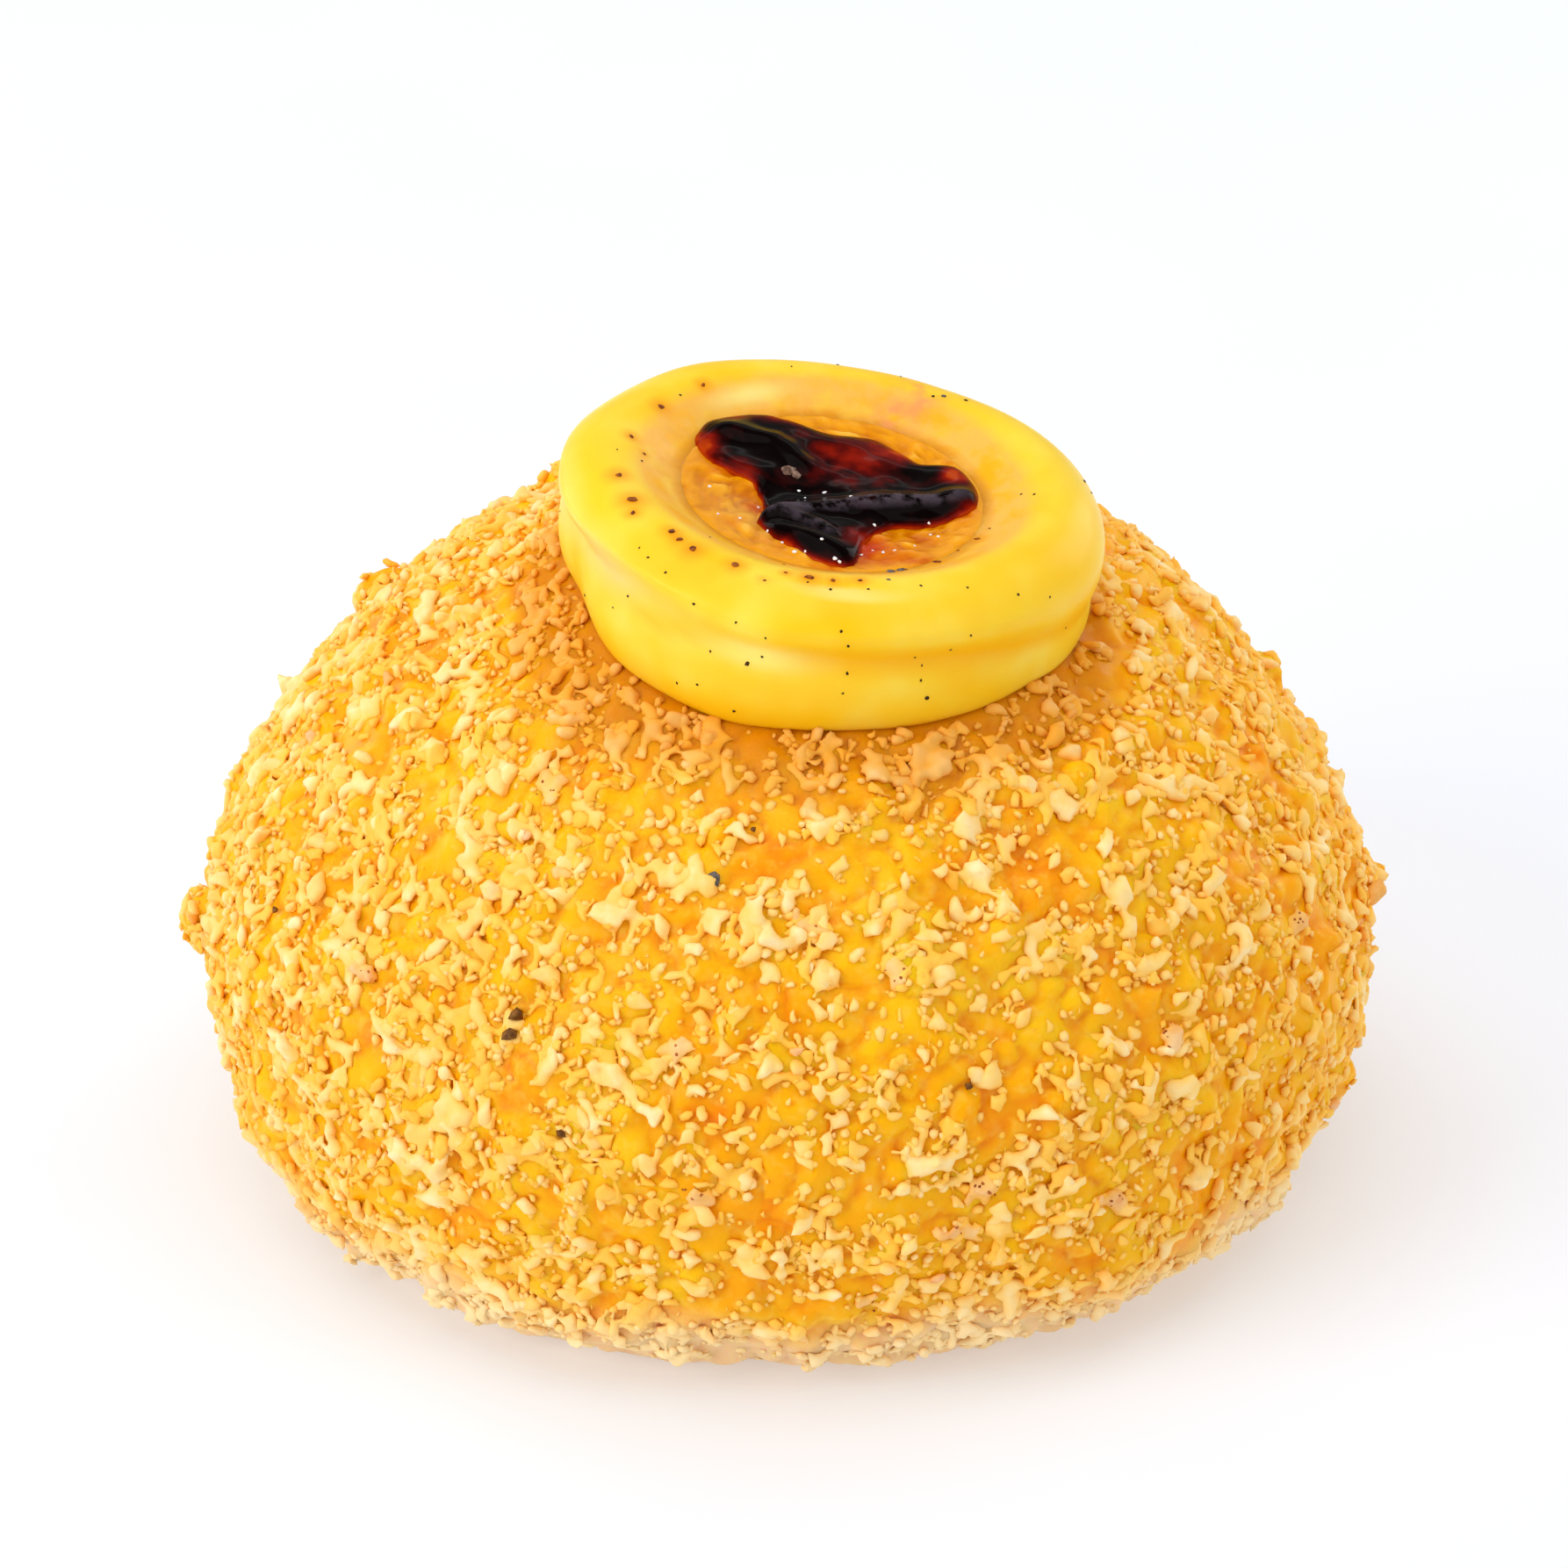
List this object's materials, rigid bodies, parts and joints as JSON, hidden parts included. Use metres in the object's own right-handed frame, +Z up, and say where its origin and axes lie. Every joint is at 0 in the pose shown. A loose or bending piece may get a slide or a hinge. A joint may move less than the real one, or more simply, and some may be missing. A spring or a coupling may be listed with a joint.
{
  "type": "lava bun",
  "caption": "Round baked bun in a coarse crumb coat, topped with a piped custard ring that holds a caramel pool and dark syrup.",
  "frame": {"origin": "middle of the flat foot that the bun rests on", "axes": "+Z up through the bun, -Y towards the side that the custard ring leans to, +X to the right when seen from that side"},
  "size_m": [0.0874, 0.0846, 0.0584],
  "materials": {
    "crumb_coat": "golden baked crumbs, dry and rough, over a slightly glossy golden crust",
    "custard": "smooth set custard, pale yellow, softly translucent, with vanilla seeds and a lightly browned top",
    "caramel": "wet amber caramel custard with small lumps",
    "dark_syrup": "thick dark red to black syrup with a mirror gloss"
  },
  "bodies": {
    "root": {"bun": "crumb_coat", "custard_ring": "custard", "caramel_filling": "caramel", "syrup": "dark_syrup"}
  },
  "joints": []
}
